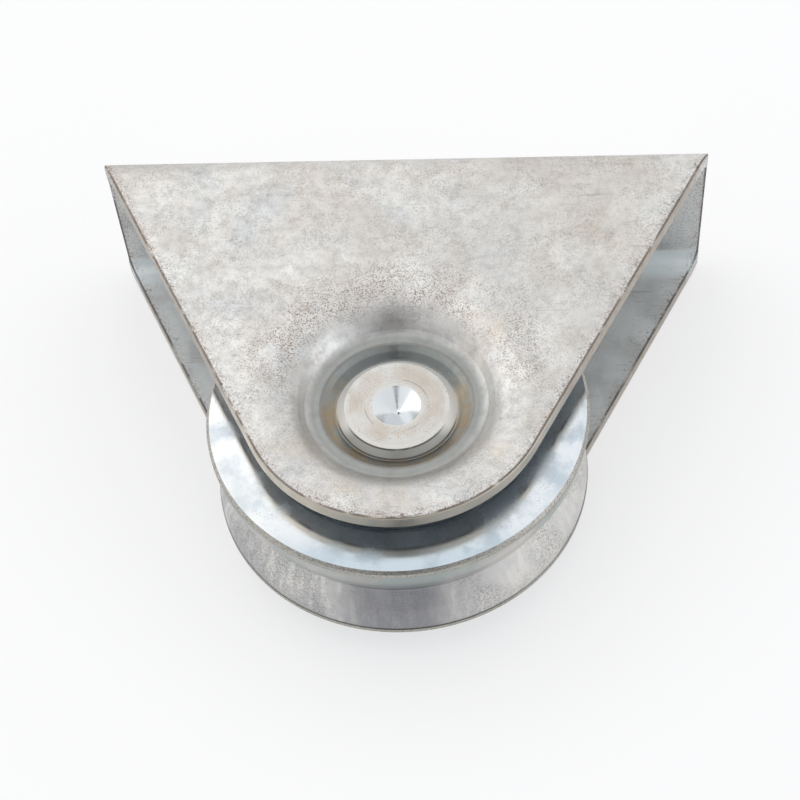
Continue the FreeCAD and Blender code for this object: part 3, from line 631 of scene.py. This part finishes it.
# the axle pin: bare turned steel, a soft grey shine with fine rings
pinFinish = {
    "base": "#D2D0CC", "tint": "#C6C1B9", "shade": "#A39D95", "speck": "#8A7E70",
    "lineSize": 0.4, "lineDepth": 0.15, "cloudSize": 4.0, "speckSize": 0.36, "speckAmount": 0.5,
    "roughness": (0.20, 0.34), "bumpHeight": 0.00001,
}
headFinish = {
    "centre": "#DFE4E8",  # the drill's point left it bright
    "bevel": "#F7F6F3",
    "ring": "#B4A598",  # a brown film round the head's face
    "scratch": "#6A6259",
    "lowerBevelShade": "#85857F",  # painted shade on the bevel's lower side
    "shadeLine": "#45413D",
    "bevelMetal": 0.5,
    "centreRoughness": 0.1,
    "bevelRoughness": 0.38,

    # how far each layer covers what lies under it
    "amounts": {"ring": 0.35, "scratch": 0.4, "centre": 0.8, "bevel": 0.85, "lowerBevelShade": 0.75, "shadeLine": 0.8},

    # patterns, sizes in millimetres
    "patterns": {
        "ring": {"size": 5.0, "low": 0.36, "high": 0.60, "shift": 83},
        "scratch": {"size": 6.0, "low": 0.44, "high": 0.56, "shift": 85},
        "bevelShadeLine": {"size": 5.0, "low": 0.40, "high": 0.55, "shift": 87},
    },

    # where something starts and where it is full, in millimetres, from the axle and above it
    "fromAxle": {
        "centre": (5.2, 5.0), "bevel": (10.9, 11.1), "ringInner": (5.2, 7.0), "ringOuter": (10.6, 8.5),
        "scratchInner": (6.4, 6.55), "scratchOuter": (6.8, 6.65),
        "bevelShadeLine": (11.35, 11.2), "footShadeLine": (12.35, 12.55),
    },
    "aboveAxle": {"lower": (-4.0, -8.0), "footShadeLine": (0.0, -5.0)},
}


def headWearAndPaintedLight(tree, place, colour, dull):
    # a bright drilled centre, a face with a faint brown ring, a bevel painted white as a highlight, and
    # painted shade on its lower side and round its foot
    values = headFinish
    radius, height = place["radius"], place["height"]
    amounts, fromAxle, aboveAxle = values["amounts"], values["fromAxle"], values["aboveAxle"]
    pattern = {name: patches(tree, place["coords"], **look) for name, look in values["patterns"].items()}
    centre = overlap(tree, (radius, *fromAxle["centre"]))
    bevel = overlap(tree, (radius, *fromAxle["bevel"]))
    lower = overlap(tree, (height, *aboveAxle["lower"]))
    colour = layered(tree, colour, [
        (values["ring"], amounts["ring"], (radius, *fromAxle["ringInner"]), (radius, *fromAxle["ringOuter"]),
         pattern["ring"]),
        (values["scratch"], amounts["scratch"], (radius, *fromAxle["scratchInner"]),
         (radius, *fromAxle["scratchOuter"]), pattern["scratch"]),
        (values["centre"], amounts["centre"], centre),
        # painted highlight: the bevel drawn white and less metallic, so it shines as a bright ring
        (values["bevel"], amounts["bevel"], bevel),
        # painted shade on the bevel's lower side
        (values["lowerBevelShade"], amounts["lowerBevelShade"], bevel, lower),
        # painted shade: a dark line along the bevel's lower edge, and a painted shadow where the head meets
        # the recess, on its lower side
        (values["shadeLine"], amounts["shadeLine"], bevel, (radius, *fromAxle["bevelShadeLine"]), lower, pattern["bevelShadeLine"]),
        (values["shadeLine"], amounts["shadeLine"], (radius, *fromAxle["footShadeLine"]), (height, *aboveAxle["footShadeLine"])),
    ])
    metal = addNode(tree, "ShaderNodeMix", {"data_type": "FLOAT"}, {
        0: bevel, 2: 1.0, 3: values["bevelMetal"]}).outputs[0]
    for mask, ownDull in ((centre, values["centreRoughness"]), (bevel, values["bevelRoughness"])):
        dull = addNode(tree, "ShaderNodeMix", {"data_type": "FLOAT"}, {
            0: mask, 2: dull, 3: ownDull}).outputs[0]
    return colour, dull, metal


# spacer washers: turned and plated like the sheet, duller than the wheel, with rings that catch the light
washerFinish = {
    "base": "#C4C5C4", "tint": "#B4B7B8", "shade": "#85878A", "speck": "#706B64",
    "lineSize": 0.3, "lineDepth": 0.2, "cloudSize": 5.0, "speckSize": 0.5, "speckAmount": 0.3,
    "roughness": (0.28, 0.4), "bumpHeight": 0.00001,
}
# bearing rings: hardened and ground, so a clean sharp shine with hair-fine lines
ringFinish = {
    "base": "#C9CBCC", "tint": "#BEC2C6", "shade": "#8E9296", "speck": "#6A6660",
    "lineSize": 0.12, "lineDepth": 0.12, "cloudSize": 5.0, "speckSize": 0.4, "speckAmount": 0.12,
    "roughness": (0.12, 0.2), "bumpHeight": 0.000003,
}
# balls: lapped, nearly a mirror
ballFinish = {
    "base": "#D2D4D6", "tint": "#C8CCD0", "shade": "#A6AAAE", "speck": "#7C7C7C",
    "lineSize": 0.3, "lineDepth": 0.04, "cloudSize": 2.0, "speckSize": 0.3, "speckAmount": 0.05,
    "roughness": (0.05, 0.1), "bumpHeight": 0.000001,
}
# cage: pressed from soft strip, satin and a little yellow from the oil
cageFinish = {
    "base": "#B9B7B2", "tint": "#A9A59C", "shade": "#7E7B74", "speck": "#5F5A52",
    "lineSize": 0.5, "lineDepth": 0.12, "cloudSize": 3.0, "speckSize": 0.4, "speckAmount": 0.3,
    "roughness": (0.26, 0.4), "bumpHeight": 0.00001,
}
# shields: pressed from thin strip, smooth, with a yellowish film of old grease
shieldFinish = {
    "base": "#C2C3C2", "tint": "#A8A594", "shade": "#84837C", "speck": "#5C5444",
    "lineSize": 0.45, "lineDepth": 0.12, "cloudSize": 4.0, "speckSize": 0.5, "speckAmount": 0.3,
    "roughness": (0.2, 0.42), "bumpHeight": 0.000008,
}
# retaining ring: blackened spring steel, dark with a dull sheen
springFinish = {
    "base": "#4B4B4E", "tint": "#3C3C42", "shade": "#2A2A2C", "speck": "#8A8078",
    "lineSize": 0.5, "lineDepth": 0.2, "cloudSize": 3.0, "speckSize": 0.4, "speckAmount": 0.25,
    "roughness": (0.34, 0.48), "bumpHeight": 0.00001,
}

dress(turnedSteel("turned zinc-plated steel", wheelFinish, grooveWearAndPaintedLight), "wheel")
dress(turnedSteel("turned pin steel", pinFinish, headWearAndPaintedLight), "axle_pin")
dress(turnedSteel("zinc-plated washer steel", washerFinish), "spacer_near", "spacer_far")
dress(turnedSteel("ground bearing steel", ringFinish), "bearing_outer_ring", "bearing_inner_ring")
dress(turnedSteel("polished ball steel", ballFinish), *["ball_%d" % n for n in range(1, 9)])
dress(turnedSteel("pressed cage steel", cageFinish), "cage_near", "cage_far", "cage_rivets")
dress(turnedSteel("pressed shield steel", shieldFinish), "shield_near", "shield_far")
dress(turnedSteel("blackened spring steel", springFinish), "retaining_ring")
print("turned pieces dressed")

bpy.context.scene.view_settings.view_transform = "Standard"
